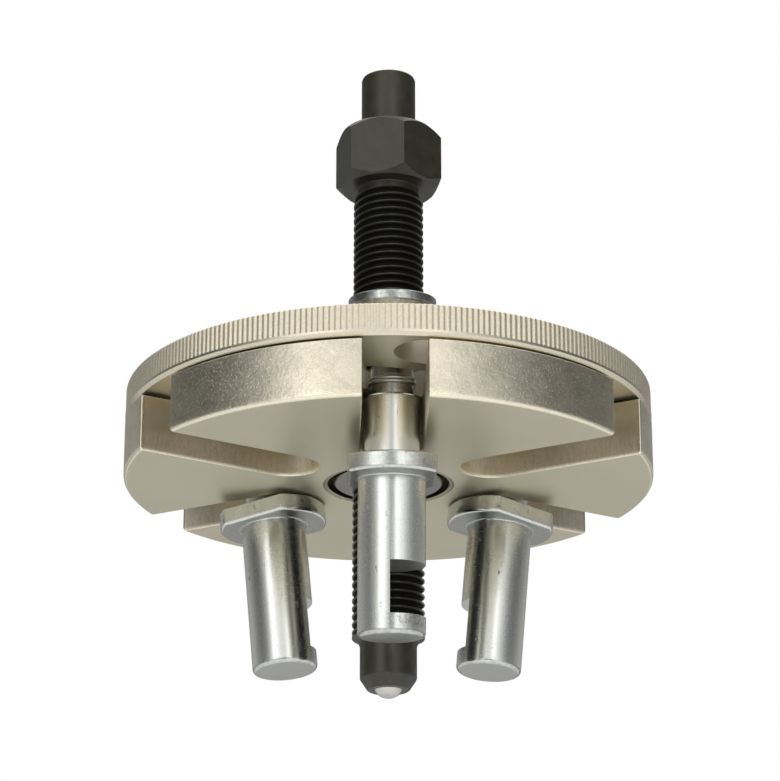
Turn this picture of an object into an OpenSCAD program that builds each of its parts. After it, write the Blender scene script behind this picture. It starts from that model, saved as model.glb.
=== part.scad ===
// Three-hook pulley puller whose hook pins are set in and out by a scroll disc.
// All lengths are in millimetres.
// Z = 0 is the underside of the guide plate, and the spindle stands along Z with its hexagon on top.
// One radial slot of the guide plate points along -Y, and its hook pin is the front one.

/* [Plates] */
// Outer diameter of both plates
plate_d = 130; // [127:0.5:140]
// Thickness of the slotted guide plate
guide_t = 14; // [13:0.5:16]
// Thickness of the scroll disc
scroll_t = 7.7; // [7:0.1:9]
// Space between the plates, filled by the thrust washer
plate_gap = 0.8; // [0.6:0.1:1.2]
// Broken edge of the guide plate's rim and slots
edge_break = 0.45; // [0.2:0.05:0.8]

/* [Radial slots] */
// Number of radial slots
slot_count = 6; // [6:3:6]
// Width of each radial slot
slot_w = 15; // [14.5:0.1:16]
// Distance of the slot's round inner end from the spindle axis
slot_end_r = 28.5; // [28:0.1:29]

/* [Scroll] */
// Width of the spiral slots
scroll_slot_w = 15; // [14.5:0.1:15.6]
// Radial travel of a hook pin for each turn of the disc
scroll_lead = 60.6; // [59:0.1:63]
// Distance of a spiral's inner end from the spindle axis
scroll_in_r = 28.5; // [28:0.1:29]
// Metal left between a spiral's outer end and the rim
scroll_rim_wall = 3.1; // [2.5:0.1:5]

/* [Knurl] */
// Number of straight grooves round the rim
knurl_teeth = 300; // [240:6:330]
// Depth of each groove
knurl_depth = 0.5; // [0.3:0.05:0.7]
// Height of the plain band below the grooves
knurl_band = 1.4; // [1:0.1:2]
// How far the crests lie inside the plain band
knurl_inset = 0.08; // [0.04:0.01:0.2]

/* [Centre bush] */
// Wall of the threaded bush round the spindle
bush_wall = 3; // [2.8:0.1:3.4]
// Diameter of the bush's bottom flange
bush_flange_d = 26.7; // [26.4:0.1:27.2]
// Thickness of the bush's bottom flange
bush_flange_t = 4.3; // [4:0.1:5]
// How far the flange lies inside the guide plate's face
bush_inset = 0.3; // [0.1:0.1:0.8]
// Height of the bush above the scroll disc
bush_top_h = 3.6; // [3:0.1:5]
// Outer diameter of the seat ring in the guide plate
seat_d = 31.9; // [31.6:0.1:33]
// Wall of the seat ring round the flange
seat_wall = 1; // [0.8:0.1:1.2]
// Depth of the seat ring's wide part
seat_depth = 9; // [8:0.5:10]
// Step by which the seat ring narrows inside the plate
seat_step = 1.7; // [1.4:0.1:2]
// Outer diameter of the thrust washer
washer_d = 37; // [35:0.5:39]

/* [Spindle] */
// Outer diameter of the thread
thread_d = 17.7; // [17.2:0.1:18]
// Height of the thread's upper end
thread_top_z = 77; // [74:0.5:80]
// Length of the threaded stretch
thread_l = 115.9; // [112:0.1:118]
// Diameter of the relief under the hexagon
relief_d = 15.2; // [14.8:0.1:16]
// Height of the relief under the hexagon
relief_h = 2; // [1.5:0.1:3]
// Size of the hexagon across its flats
hex_af = 24; // [22:0.5:27]
// Height of the hexagon
hex_h = 17; // [15:0.5:20]
// Angle by which the hexagon is turned from the slot direction
hex_turn = -14.9; // [-30:0.1:30]
// Diameter of the boss on top of the hexagon
boss_d = 13.8; // [12:0.1:14]
// Height of the boss
boss_h = 14.5; // [12:0.5:18]
// Diameter of the plain nose below the thread
nose_d = 13.8; // [13:0.1:14.2]
// Fillet radius from the thread down to the nose
nose_fillet = 2.6; // [2:0.1:3]
// Length of the nose between the fillet and its cone
nose_l = 7.5; // [6:0.5:10]
// Height of the nose's end cone
nose_cone_h = 2.75; // [2.4:0.05:3]
// Diameter of the nose's end face
nose_face_d = 10.4; // [10:0.1:11]
// Diameter of the centring ball in the nose
ball_d = 8; // [7.6:0.1:8.2]
// How far the ball stands out of the nose
ball_out = 1.9; // [1.6:0.1:2.2]

/* [Hook pins] */
// Radius of the circle on which the hook pins stand at rest
pin_circle_r = 35.5; // [34.5:0.1:36.5]
// Angle by which the pins lean in their play, with their lower ends towards the spindle
pin_lean = 6; // [0:0.5:6.5]
// Distance of the front pin's collar below the guide plate
front_drop = 6; // [5.5:0.1:6.5]
// Distance of the side pins' collars below the guide plate
side_drop = 2.9; // [2.7:0.1:4]
// Diameter of the hook pin below its collar
barrel_d = 16; // [14:0.1:17]
// Length of the hook pin below its collar
barrel_l = 37.6; // [35:0.1:43]
// Broken edge at the pin's lower end
barrel_edge = 0.8; // [0.4:0.1:1.2]
// Diameter of the collar
collar_d = 26.6; // [25:0.1:27]
// Size of the collar across its two flats
collar_af = 20.8; // [19:0.1:23]
// Thickness of the collar
collar_t = 4.3; // [4:0.1:5]
// Broken edge of the collar
collar_edge = 0.4; // [0.2:0.1:0.8]
// Size of the step where the collar meets the pin
collar_fillet = 0.6; // [0.3:0.1:1]
// Diameter of the shank that runs in the radial slot
shank_d = 13; // [12.4:0.1:13.4]
// Length of the shank
shank_l = 15.5; // [15:0.1:16]
// Diameter of the neck that runs in the scroll bush
neck_d = 10.2; // [9.8:0.1:10.4]
// Height of the hook opening
notch_h = 12.4; // [10:0.1:15]
// How far the hook opening is cut past the pin's axis
notch_past = 0.6; // [0:0.1:1.5]
// Thickness of the hook's lip
lip_h = 4.7; // [4:0.1:6]
// Direction in which the front hook opens
front_turn = 0; // [-180:0.5:180]
// Direction in which the right hook opens
right_turn = 124; // [-180:0.5:180]
// Direction in which the left hook opens
left_turn = 60; // [-180:0.5:180]

/* [Scroll bushes] */
// Diameter of the bush's head
head_d = 20.9; // [20:0.1:22]
// Height of the bush's head above the scroll disc
head_h = 10.8; // [10.4:0.1:12]
// Height of the head's plain rim
head_band = 2.2; // [1.6:0.1:3]
// Height of the cone below the head's rim
head_cone = 2; // [1:0.1:3]
// Diameter of the hub below the head's cone
hub_d = 17.8; // [17:0.1:18.6]
// Length of the sleeve that reaches into the spiral slot
sleeve_l = 5.7; // [5.6:0.1:6]
// Depth of the recess that holds the pin's circlip
recess_depth = 2; // [1.8:0.1:2.4]
// Diameter of the recess that holds the pin's circlip
recess_d = 16.6; // [16.2:0.1:17]
// Wire size of the pin's two-turn grip ring
wire_d = 0.9; // [0.8:0.02:1]
// Height of the sleeve above the grip ring when the pin hangs as the front one does
ring_drop = 3; // [2.6:0.1:3.4]

/* [Clearances] */
// Radial clearance of a shaft that turns or slides in its hole
run_gap = 0.05; // [0.03:0.01:0.1]
// Radial clearance of the scroll bush in its spiral slot, which lets the pin lean
scroll_gap = 0.4; // [0.35:0.01:0.5]
// Radial clearance of the grip ring inside the sleeve
ring_gap = 0.15; // [0.1:0.01:0.2]
// Axial clearance of rings and washers
side_gap = 0.05; // [0.03:0.01:0.1]

/* [Hidden] */
$fn = 96;

plate_r = plate_d / 2;
slot_pitch = 360 / slot_count;
slot_half = slot_w / 2;
cut_margin = 1;

scroll_z = guide_t + plate_gap;
scroll_top_z = scroll_z + scroll_t;
scroll_half = scroll_slot_w / 2;
scroll_out_r = plate_r - scroll_rim_wall - scroll_half;
knurl_z = scroll_z + knurl_band;
spiral_step = 2.5;
spiral_end_steps = 14;

bush_bore_r = thread_d / 2 + run_gap;
bush_r = bush_bore_r + bush_wall;
bush_flange_z = bush_inset + bush_flange_t;
bush_top_z = scroll_top_z + bush_top_h;
bush_edge = 0.6;
seat_r = seat_d / 2;
seat_narrow_r = seat_r - seat_step;
circlip_t = 1.2;
circlip_groove = 0.55;
circlip_w = 2.6;

thread_low_z = thread_top_z - thread_l;
hex_z = thread_top_z + relief_h;
hex_top_z = hex_z + hex_h;
hex_corner_r = hex_af / 2 / cos(30);
hex_cone_d = hex_af - 1;
boss_edge = 0.6;
nose_z = thread_low_z - nose_fillet;
nose_cone_z = nose_z - nose_l;
nose_face_z = nose_cone_z - nose_cone_h;
thread_edge = 1;
ball_r = ball_d / 2;
ball_z = nose_face_z - ball_out + ball_r;

barrel_z = -collar_t - barrel_l;
notch_z = barrel_z + lip_h;
ring_pitch = wire_d * 0.92;
ring_h = wire_d + ring_pitch;
ring_groove = 0.3;
ring_mid_r = neck_d / 2 - ring_groove + run_gap + wire_d / 2;
ring_out_r = ring_mid_r + wire_d / 2;
sleeve_z = scroll_top_z - sleeve_l;
sleeve_r = scroll_half - scroll_gap;
head_top_z = scroll_top_z + head_h;
recess_z = head_top_z - recess_depth;
head_edge = 0.35;
// The pin leans about the middle of its sleeve, and the low side of its head rests on the scroll disc
lean_z = scroll_top_z - sleeve_l / 2;
lean_rise = hub_d / 2 * sin(pin_lean) + (scroll_top_z + side_gap - lean_z) * (1 - cos(pin_lean));
ring_z = sleeve_z - ring_drop - ring_h + front_drop;
// The circlip seats in the head's recess when its pin hangs at the front pin's height
clip_t = 1;
clip_groove = 0.5;
clip_w = 1.9;
clip_z = recess_z + side_gap + front_drop;
neck_top = clip_z + clip_t + 0.8;

right_angle = 30;
left_angle = 150;
front_angle = -90;

plate_tint = [0.74, 0.71, 0.64];
zinc_tint = [0.72, 0.73, 0.74];
black_tint = [0.13, 0.13, 0.12];
ring_tint = [0.62, 0.59, 0.52];
spring_tint = [0.45, 0.45, 0.46];

guide_plate();
seat_ring();
centre_bush();
thrust_washer();
scroll_disc();
bush_circlip();
spindle();
tip_ball();
on_slot(front_angle) hook_pin(front_drop, front_turn - front_angle);  // hook_pin_front
on_slot(right_angle) hook_pin(side_drop, right_turn - right_angle);  // hook_pin_right
on_slot(left_angle) hook_pin(side_drop, left_turn - left_angle);  // hook_pin_left
on_slot(front_angle) scroll_bush();  // scroll_bush_front
on_slot(right_angle) scroll_bush();  // scroll_bush_right
on_slot(left_angle) scroll_bush();  // scroll_bush_left
on_slot(front_angle) grip_ring(front_drop);  // grip_ring_front
on_slot(right_angle) grip_ring(side_drop);  // grip_ring_right
on_slot(left_angle) grip_ring(side_drop);  // grip_ring_left
on_slot(front_angle) pin_circlip(front_drop);  // pin_circlip_front
on_slot(right_angle) pin_circlip(side_drop);  // pin_circlip_right
on_slot(left_angle) pin_circlip(side_drop);  // pin_circlip_left

// Puts a piece of a pin on the pin circle, with its X axis pointing outwards along the radial slot
module on_slot(angle) {
    rotate([0, 0, angle]) translate([pin_circle_r, 0, lean_z + lean_rise]) rotate([0, pin_lean, 0])
        translate([0, 0, -lean_z]) children();
}

// Lower plate with open radial slots that keep the hook pins from turning with the disc
module guide_plate() {
    color(plate_tint) difference() {
        rotate_extrude() guide_profile();
        for (k = [0 : slot_count - 1]) {
            rotate([0, 0, front_angle + k * slot_pitch]) {
                radial_slot();
                slot_edges();
            }
        }
    }
}

module guide_profile() {
    polygon([
        [seat_r, 0],
        [plate_r - edge_break, 0],
        [plate_r, edge_break],
        [plate_r, guide_t - edge_break],
        [plate_r - edge_break, guide_t],
        [seat_narrow_r, guide_t],
        [seat_narrow_r, seat_depth],
        [seat_r, seat_depth]
    ]);
}

// Slot with a round inner end, open at the rim
module radial_slot() {
    translate([slot_end_r, 0, -cut_margin]) linear_extrude(guide_t + 2 * cut_margin) union() {
        circle(slot_half);
        translate([0, -slot_half]) square([plate_r - slot_end_r + cut_margin, slot_w]);
    }
}

// Broken edges of one slot on the lower face and where it opens at the rim
module slot_edges() {
    mouth_x = sqrt(plate_r * plate_r - slot_half * slot_half);
    side = edge_break * sqrt(2);
    translate([slot_end_r, 0, -edge_break])
        cylinder(h = 2 * edge_break, r1 = slot_half + 2 * edge_break, r2 = slot_half);
    for (s = [-1, 1]) {
        translate([slot_end_r, s * slot_half, 0]) rotate([45, 0, 0]) translate([0, -side / 2, -side / 2])
            cube([plate_r, side, side]);
        translate([mouth_x, s * slot_half, -cut_margin]) rotate([0, 0, 45]) translate([-side / 2, -side / 2, 0])
            cube([side, side, guide_t + 2 * cut_margin]);
    }
}

// Stepped ring pressed into the guide plate, which takes the bush's thrust
module seat_ring() {
    color(ring_tint) rotate_extrude() polygon([
        [seat_r - seat_wall, 0],
        [seat_r, 0],
        [seat_r, seat_depth],
        [seat_narrow_r, seat_depth],
        [seat_narrow_r, guide_t],
        [bush_r, guide_t],
        [bush_r, bush_flange_z],
        [seat_r - seat_wall, bush_flange_z]
    ]);
}

// Threaded bush that carries the spindle, and on which the scroll disc turns
module centre_bush() {
    groove_z = scroll_top_z;
    groove_top_z = groove_z + circlip_t + 2 * side_gap;
    groove_r = bush_r - circlip_groove;
    color(zinc_tint) rotate_extrude() polygon([
        [bush_bore_r + bush_edge, bush_inset],
        [bush_flange_d / 2 - bush_edge / 2, bush_inset],
        [bush_flange_d / 2, bush_inset + bush_edge / 2],
        [bush_flange_d / 2, bush_flange_z],
        [bush_r, bush_flange_z],
        [bush_r, groove_z],
        [groove_r, groove_z],
        [groove_r, groove_top_z],
        [bush_r, groove_top_z],
        [bush_r, bush_top_z - bush_edge],
        [bush_r - bush_edge, bush_top_z],
        [bush_bore_r + bush_edge, bush_top_z],
        [bush_bore_r, bush_top_z - bush_edge],
        [bush_bore_r, bush_inset + bush_edge]
    ]);
}

// Washer between the plates
module thrust_washer() {
    color(spring_tint) translate([0, 0, guide_t]) difference() {
        cylinder(h = plate_gap - side_gap, d = washer_d);
        translate([0, 0, -cut_margin]) cylinder(h = plate_gap + 2 * cut_margin, r = bush_r + 2 * run_gap);
    }
}

// Upper disc with three spiral slots and a straight-knurled rim
module scroll_disc() {
    color(plate_tint) difference() {
        union() {
            translate([0, 0, scroll_z]) cylinder(h = knurl_band, r = plate_r, $fn = 180);
            translate([0, 0, knurl_z]) linear_extrude(scroll_t - knurl_band) polygon(knurl_outline());
        }
        translate([0, 0, scroll_z - cut_margin]) cylinder(h = scroll_t + 2 * cut_margin, r = bush_r + run_gap);
        for (k = [0 : 2]) {
            rotate([0, 0, right_angle + k * 120]) translate([0, 0, scroll_z - cut_margin])
                linear_extrude(scroll_t + 2 * cut_margin) polygon(spiral_outline());
        }
    }
}

// Rim seen from above: a flat crest and a V groove for every tooth
function knurl_outline() = [
    for (k = [0 : knurl_teeth - 1], p = [[0, 0], [0.5, 0], [0.75, 1]])
        let (a = (k + p[0]) * 360 / knurl_teeth, r = plate_r - knurl_inset - p[1] * knurl_depth)
            [r * cos(a), r * sin(a)]
];

// The spiral's centre line, where the pin at rest stands at angle 0 and the line runs in as the angle grows
function spiral_r(a) = pin_circle_r - scroll_lead * a / 360;
function spiral_point(a) = spiral_r(a) * [cos(a), sin(a)];
function spiral_heading(a) = a + 90 + atan(scroll_lead / 360 * 180 / PI / spiral_r(a));
function spiral_side(a, s) =
    spiral_point(a) + s * scroll_half * [sin(spiral_heading(a)), -cos(spiral_heading(a))];

function spiral_outline() =
    let (
        a0 = (pin_circle_r - scroll_out_r) * 360 / scroll_lead,
        a1 = (pin_circle_r - scroll_in_r) * 360 / scroll_lead,
        n = ceil((a1 - a0) / spiral_step)
    ) concat(
        [for (i = [0 : n]) spiral_side(a0 + (a1 - a0) * i / n, 1)],
        spiral_cap(a1, -90),
        [for (i = [0 : n]) spiral_side(a1 + (a0 - a1) * i / n, -1)],
        spiral_cap(a0, 90)
    );

// Round end of a spiral slot, between its two sides
function spiral_cap(a, from) = [
    for (i = [1 : spiral_end_steps - 1])
        let (b = spiral_heading(a) + from + i * 180 / spiral_end_steps)
            spiral_point(a) + scroll_half * [cos(b), sin(b)]
];

// Open ring with two plier lugs, thicker opposite its gap, lying from Z = 0 up
module circlip(root_r, w, t) {
    gap = root_r * 0.5;
    lug_r = w * 0.55;
    lug_x = root_r + lug_r * 0.75;
    lug_y = gap / 2 + lug_r * 0.55;
    linear_extrude(t) difference() {
        union() {
            translate([-w * 0.15, 0]) circle(root_r + w * 0.85);
            for (s = [-1, 1]) translate([lug_x, s * lug_y]) circle(lug_r);
        }
        circle(root_r);
        translate([0, -gap / 2]) square([2 * root_r, gap]);
        for (s = [-1, 1]) translate([lug_x + lug_r * 0.1, s * (lug_y + lug_r * 0.1)]) circle(lug_r * 0.42, $fn = 24);
    }
}

// Holds the scroll disc down on the guide plate
module bush_circlip() {
    color(spring_tint) translate([0, 0, scroll_top_z + side_gap])
        circlip(bush_r - circlip_groove + run_gap, circlip_w, circlip_t);
}

// Forcing spindle in one piece: boss, hexagon, threaded rod and plain nose
module spindle() {
    color(black_tint) difference() {
        union() {
            rotate_extrude() spindle_profile();
            hexagon();
        }
        translate([0, 0, ball_z]) sphere(ball_r + run_gap);
        translate([0, 0, nose_z]) rotate_extrude() nose_fillet_profile();
    }
}

module spindle_profile() {
    polygon([
        [0, nose_face_z],
        [nose_face_d / 2, nose_face_z],
        [nose_d / 2, nose_cone_z],
        [nose_d / 2, nose_z],
        [thread_d / 2, nose_z],
        [thread_d / 2, thread_top_z - thread_edge],
        [relief_d / 2, thread_top_z],
        [relief_d / 2, hex_z + thread_edge],
        [boss_d / 2, hex_top_z - thread_edge],
        [boss_d / 2, hex_top_z + boss_h - boss_edge],
        [boss_d / 2 - boss_edge, hex_top_z + boss_h],
        [0, hex_top_z + boss_h]
    ]);
}

// The ring of metal that the turned fillet takes off between the thread and the nose
module nose_fillet_profile() {
    difference() {
        translate([nose_d / 2, 0]) square([thread_d / 2 - nose_d / 2 + cut_margin, nose_fillet]);
        intersection() {
            translate([nose_d / 2, 0]) square([nose_fillet, nose_fillet]);
            difference() {
                translate([nose_d / 2, 0]) square(nose_fillet);
                translate([nose_d / 2 + nose_fillet, 0]) circle(nose_fillet);
            }
        }
    }
}

module hexagon() {
    rise = (hex_corner_r * 2 - hex_cone_d) / 2;
    intersection() {
        translate([0, 0, hex_z]) rotate([0, 0, hex_turn]) cylinder(h = hex_h, r = hex_corner_r, $fn = 6);
        rotate_extrude() polygon([
            [0, hex_z],
            [hex_cone_d / 2, hex_z],
            [hex_cone_d / 2 + 2 * rise, hex_z + 2 * rise],
            [hex_cone_d / 2 + 2 * rise, hex_top_z - 2 * rise],
            [hex_cone_d / 2, hex_top_z],
            [0, hex_top_z]
        ]);
    }
}

// Loose centring ball held in the nose
module tip_ball() {
    color(zinc_tint) translate([0, 0, ball_z]) sphere(ball_r);
}

// One hook pin: drop is how far its collar hangs below the plate, turn is where its opening faces
module hook_pin(drop, turn) {
    color(zinc_tint) translate([0, 0, -drop]) rotate([0, 0, turn]) difference() {
        union() {
            rotate_extrude() pin_profile();
            collar();
        }
        translate([-notch_past, -barrel_d, notch_z]) cube([barrel_d, 2 * barrel_d, notch_h]);
    }
}

// Turned outline of the pin without its collar, from the lower end to the top of the neck
module pin_profile() {
    ring_root_r = neck_d / 2 - ring_groove;
    clip_root_r = neck_d / 2 - clip_groove;
    polygon([
        [0, barrel_z],
        [barrel_d / 2 - barrel_edge, barrel_z],
        [barrel_d / 2, barrel_z + barrel_edge],
        [barrel_d / 2, -collar_t - collar_fillet],
        [barrel_d / 2 + collar_fillet, -collar_t],
        [barrel_d / 2 + collar_fillet, -collar_t / 2],
        [shank_d / 2, -collar_t / 2],
        [shank_d / 2, shank_l - barrel_edge],
        [shank_d / 2 - barrel_edge, shank_l],
        [neck_d / 2, shank_l],
        [neck_d / 2, ring_z - side_gap],
        [ring_root_r, ring_z - side_gap],
        [ring_root_r, ring_z + ring_h + side_gap],
        [neck_d / 2, ring_z + ring_h + side_gap],
        [neck_d / 2, clip_z - side_gap],
        [clip_root_r, clip_z - side_gap],
        [clip_root_r, clip_z + clip_t + side_gap],
        [neck_d / 2, clip_z + clip_t + side_gap],
        [neck_d / 2, neck_top - head_edge],
        [neck_d / 2 - head_edge, neck_top],
        [0, neck_top]
    ]);
}

// Collar with two spanner flats, square to the way the hook opens
module collar() {
    intersection() {
        rotate_extrude() polygon([
            [0, -collar_t],
            [collar_d / 2 - collar_edge, -collar_t],
            [collar_d / 2, collar_edge - collar_t],
            [collar_d / 2, -collar_edge],
            [collar_d / 2 - collar_edge, 0],
            [0, 0]
        ]);
        translate([-collar_af / 2, -collar_d, -collar_t - cut_margin])
            cube([collar_af, 2 * collar_d, collar_t + 2 * cut_margin]);
    }
}

// Bush that follows the spiral slot and lets the pin's neck turn and slide in it
module scroll_bush() {
    wide_r = ring_out_r + ring_gap;
    bore_r = neck_d / 2 + run_gap;
    color(zinc_tint) rotate_extrude() polygon([
        [wide_r, sleeve_z],
        [sleeve_r, sleeve_z],
        [sleeve_r, scroll_top_z + side_gap],
        [hub_d / 2, scroll_top_z + side_gap],
        [hub_d / 2, head_top_z - head_band - head_cone],
        [head_d / 2, head_top_z - head_band],
        [head_d / 2, head_top_z - head_edge],
        [head_d / 2 - head_edge, head_top_z],
        [recess_d / 2, head_top_z],
        [recess_d / 2, recess_z],
        [bore_r, recess_z],
        [bore_r, scroll_top_z],
        [wide_r, scroll_top_z]
    ]);
}

// Two turns of wire in the neck's groove, which grip inside the sleeve and keep a raised pin up
module grip_ring(drop) {
    color(spring_tint) translate([0, 0, ring_z + wire_d / 2 - drop]) {
        for (k = [0, 1]) {
            translate([0, 0, k * ring_pitch]) rotate_extrude() translate([ring_mid_r, 0]) circle(d = wire_d, $fn = 24);
        }
    }
}

module pin_circlip(drop) {
    color(spring_tint) translate([0, 0, clip_z - drop])
        circlip(neck_d / 2 - clip_groove + run_gap, clip_w, clip_t);
}
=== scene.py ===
"""Looks of a three-hook pulley puller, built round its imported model.

Lengths are in millimetres inside the classes and become metres when a piece is finished. Z = 0 is the
guide plate's underside, and the spindle stands along Z with its hexagon on top.
"""

import logging
import math
from collections.abc import Callable, Iterable, Mapping, Sequence
from dataclasses import dataclass, field
from enum import Enum

import bmesh
import bpy
from bmesh.types import BMEdge, BMesh, BMFace, BMVert
from bpy.types import Material, Object
from mathutils import Matrix, Vector


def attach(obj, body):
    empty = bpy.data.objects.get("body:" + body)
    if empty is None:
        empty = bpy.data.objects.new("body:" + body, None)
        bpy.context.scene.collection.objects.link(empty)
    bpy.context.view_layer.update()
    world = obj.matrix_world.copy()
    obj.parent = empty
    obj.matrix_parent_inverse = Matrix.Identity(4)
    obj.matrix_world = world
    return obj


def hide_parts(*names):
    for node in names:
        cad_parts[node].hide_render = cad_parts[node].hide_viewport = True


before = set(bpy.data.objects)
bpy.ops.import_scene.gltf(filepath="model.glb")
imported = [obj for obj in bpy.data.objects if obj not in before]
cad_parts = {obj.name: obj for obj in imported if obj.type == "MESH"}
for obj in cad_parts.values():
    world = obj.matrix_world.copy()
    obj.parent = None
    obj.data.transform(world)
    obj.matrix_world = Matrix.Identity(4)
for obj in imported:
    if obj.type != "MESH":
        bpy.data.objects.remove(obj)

MM = 0.001
FULL_TURN = 2 * math.pi
LOG = logging.getLogger("puller")
UPRIGHT = Matrix.Identity(4)
UP = (0, 0, 1)

# Points nearer than SAME are one point, and so are those nearer than CLOSE where a thread's turns meet.
# Points nearer than CLOSE to a plane lie in it.
SAME = 1e-4
CLOSE = 1e-3

# Angles between faces, in degrees, from which an edge is broken, and from which it shows as sharp
BROKEN_ANGLE = 25
SHARP_ANGLE = 38

# The circle, the lean and the hub of the hook pins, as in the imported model
PIN_CIRCLE = 35.5
LEAN = math.radians(6)
LEAN_HEIGHT = 19.65
HUB = 8.9
HUB_LOW = 22.55

# The floor's height, in metres, and the number of sides of the floor and of the light tent
FLOOR_HEIGHT = -0.33
ROUND_SIDES = 96

Point = tuple[float, float]
Outline = Sequence[Point]
Span = tuple[float, float]
Band = tuple[float, float, float]
Colour = tuple[float, float, float]


class Ray(Enum):
    """Kinds of ray that see the white background."""

    CAMERA = "Is Camera Ray"
    GLOSSY = "Is Glossy Ray"
    TRANSMISSION = "Is Transmission Ray"


@dataclass(frozen=True)
class Hook:
    """A hook pin's place: the directions of its slot and its opening, in degrees, and its collar's drop."""

    label: str
    slot_angle: float
    drop: float
    opening: float

    @property
    def stance(self) -> Matrix:
        """Leans what was made upright at the origin as the pins lean, and moves it to this pin's slot.

        Returns:
            The matrix that does so.
        """
        out = Matrix.Translation((PIN_CIRCLE, 0, 0))
        slot = Matrix.Rotation(math.radians(self.slot_angle), 4, "Z") @ out
        rise = HUB * math.sin(LEAN) + (HUB_LOW - LEAN_HEIGHT) * (1 - math.cos(LEAN))
        turn = Matrix.Translation((0, 0, LEAN_HEIGHT + rise)) @ Matrix.Rotation(LEAN, 4, "Y")
        return slot @ turn @ Matrix.Translation((0, 0, -LEAN_HEIGHT))

    @property
    def stand(self) -> Matrix:
        """Moves a pin that was made with its collar's top at the origin, opening along +X, to its place."""
        turn = Matrix.Rotation(math.radians(self.opening - self.slot_angle), 4, "Z")
        return self.stance @ Matrix.Translation((0, 0, -self.drop)) @ turn


HOOKS = (Hook("front", -90.0, 6.0, 0.0), Hook("right", 30.0, 2.9, 124.0), Hook("left", 150.0, 2.9, 60.0))


# Shaders


def math_method(operation: str, other_first: bool = False) -> Callable[..., "Wire"]:
    """Makes a method of Wire that adds a Math node.

    Args:
        operation: Blender's name of the operation.
        other_first: Whether the other value comes before the Wire.

    Returns:
        The method.
    """

    def method(wire: "Wire", *others: "Wire | float") -> "Wire":
        """Adds the node and gives its value."""
        values = (*others, wire) if other_first else (wire, *others)
        return wire.shader.node("ShaderNodeMath", {"operation": operation}, dict(enumerate(values)))

    return method


class Wire:
    """A value in a shader. Sums with it are written as Python expressions.

    y.angle_to(x) is the angle of the point (x, y) round the origin.
    """

    __add__ = math_method("ADD")
    __radd__ = math_method("ADD", other_first=True)
    __sub__ = math_method("SUBTRACT")
    __rsub__ = math_method("SUBTRACT", other_first=True)
    __mul__ = math_method("MULTIPLY")
    __rmul__ = math_method("MULTIPLY", other_first=True)
    __pow__ = math_method("POWER")
    __abs__ = math_method("ABSOLUTE")
    angle_to = math_method("ARCTAN2")

    def __init__(self, shader: "Shader", socket: bpy.types.NodeSocket) -> None:
        """Keeps the socket that carries the value, and the shader it is in."""
        self.shader = shader
        self.socket = socket

    def step(self, low: float, high: float) -> "Wire":
        """0 below low, 1 above high and a smooth rise between them."""
        sockets = {"Value": self, "From Min": low, "From Max": high}
        return self.shader.node("ShaderNodeMapRange", {"interpolation_type": "SMOOTHSTEP"}, sockets)

    def band(self, low: float, high: float, soft: float) -> "Wire":
        """1 between low and high and 0 outside them, with soft edges."""
        return self.step(low - soft, low + soft) * (1 - self.step(high - soft, high + soft))


class Shader:
    """The node tree of one material or world."""

    def __init__(self, owner: Material | bpy.types.World) -> None:
        """Gives a material or world an empty tree.

        Args:
            owner: The material or world.
        """
        owner.use_nodes = True
        self.tree = owner.node_tree
        self.tree.nodes.clear()

    def node(
        self,
        kind: str,
        settings: Mapping[str, object] | None = None,
        sockets: Mapping[str | int, object] | None = None,
        output: str | int = 0,
    ) -> Wire:
        """Adds one node.

        Args:
            kind: Blender's name of the node's type.
            settings: The node's own properties, and "stops" for a ramp's (place, colour) pairs.
            sockets: A value or a Wire for each input that isn't left as it is.
            output: The output that is used.

        Returns:
            The value at that output.
        """
        made = self.tree.nodes.new(kind)
        for name, value in (settings or {}).items():
            if name == "stops":
                self._set_stops(made.color_ramp, value)
            else:
                setattr(made, name, value)
        for key, value in (sockets or {}).items():
            if isinstance(value, Wire):
                self.tree.links.new(value.socket, made.inputs[key])
            else:
                made.inputs[key].default_value = value
        return Wire(self, made.outputs[output])

    @staticmethod
    def _set_stops(ramp: bpy.types.ColorRamp, stops: Sequence[tuple[float, Colour]]) -> None:
        """Gives a ramp its stops.

        Args:
            ramp: The ramp.
            stops: The place and the colour of each stop.
        """
        while len(ramp.elements) < len(stops):
            ramp.elements.new(1.0)
        for element, (place, colour) in zip(ramp.elements, stops):
            element.position = place
            element.color = (*colour, 1)

    def blend(self, share: Wire | float, first: object, second: object) -> Wire:
        """A colour that goes from first to second as share goes from 0 to 1."""
        sockets = {0: share, 6: self._opaque(first), 7: self._opaque(second)}
        return self.node("ShaderNodeMix", {"data_type": "RGBA"}, sockets, 2)

    @staticmethod
    def _opaque(colour: object) -> object:
        """A colour's numbers with a full alpha, or the Wire as it is."""
        return colour if isinstance(colour, Wire) else (*colour, 1)

    def show(self, result: Wire, kind: str = "Material") -> None:
        """Connects what the shader makes to the output of a material or world."""
        output = self.tree.nodes.new(f"ShaderNodeOutput{kind}")
        self.tree.links.new(result.socket, output.inputs["Surface"])

    def axes(self, place: Wire) -> list[Wire]:
        """The X, the Y and the Z of a place."""
        return [self.node("ShaderNodeSeparateXYZ", {}, {0: place}, axis) for axis in "XYZ"]

    def scaled(self, place: Wire, scale: Sequence[float]) -> Wire:
        """A place multiplied by a number along each axis."""
        return self.node("ShaderNodeVectorMath", {"operation": "MULTIPLY"}, {0: place, 1: tuple(scale)})

    def joined(self, *values: Wire) -> Wire:
        """A vector made of three values."""
        return self.node("ShaderNodeCombineXYZ", {}, dict(enumerate(values)))

    def noise(self, place: Wire, scale: float, detail: float = 2.0, harshness: float = 0.5) -> Wire:
        """Noise from 0 to 1 with 1/scale of a millimetre for its largest lumps."""
        sockets = {"Vector": place, "Scale": scale, "Detail": detail, "Roughness": harshness}
        return self.node("ShaderNodeTexNoise", {}, sockets)


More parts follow.
